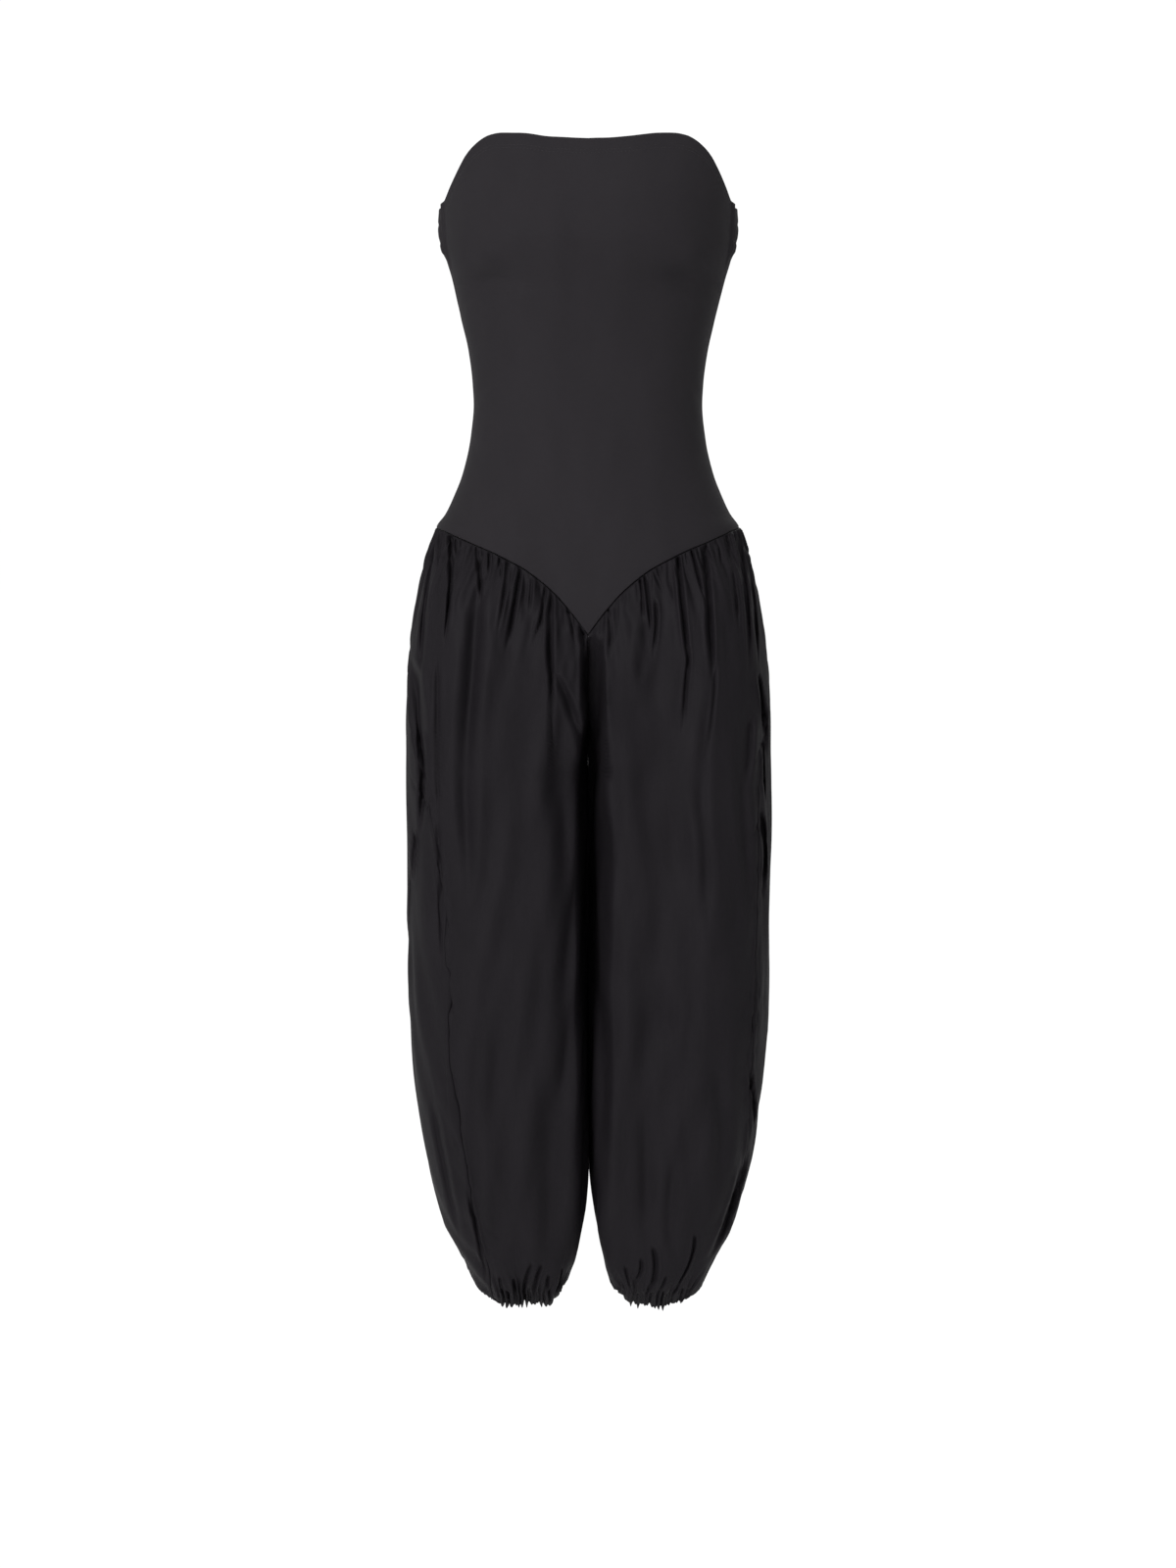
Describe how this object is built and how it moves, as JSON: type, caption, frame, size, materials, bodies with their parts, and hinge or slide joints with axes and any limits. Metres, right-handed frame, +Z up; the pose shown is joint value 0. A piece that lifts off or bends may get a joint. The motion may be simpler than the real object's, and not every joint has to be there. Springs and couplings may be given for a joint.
{
  "type": "strapless balloon-leg jumpsuit",
  "caption": "Strapless drop-waist jumpsuit: fitted jersey bodice to a V-shaped hip seam, full woven legs gathered to it and into calf casings.",
  "frame": {"origin": "centre of the top opening, level with the top of the side seams, where the wearer's chest holds the garment", "axes": "+Z up the body, the front faces -Y, +X is to the viewer's right as seen from the front"},
  "size_m": [0.3634, 0.2607, 1.1514],
  "materials": {
    "jersey": "matte",
    "woven": "satin"
  },
  "bodies": {
    "root": {"bodice_front": "jersey", "bodice_back": "jersey", "leg_front_left": "woven", "leg_back_left": "woven", "leg_front_right": "woven", "leg_back_right": "woven"}
  },
  "joints": []
}
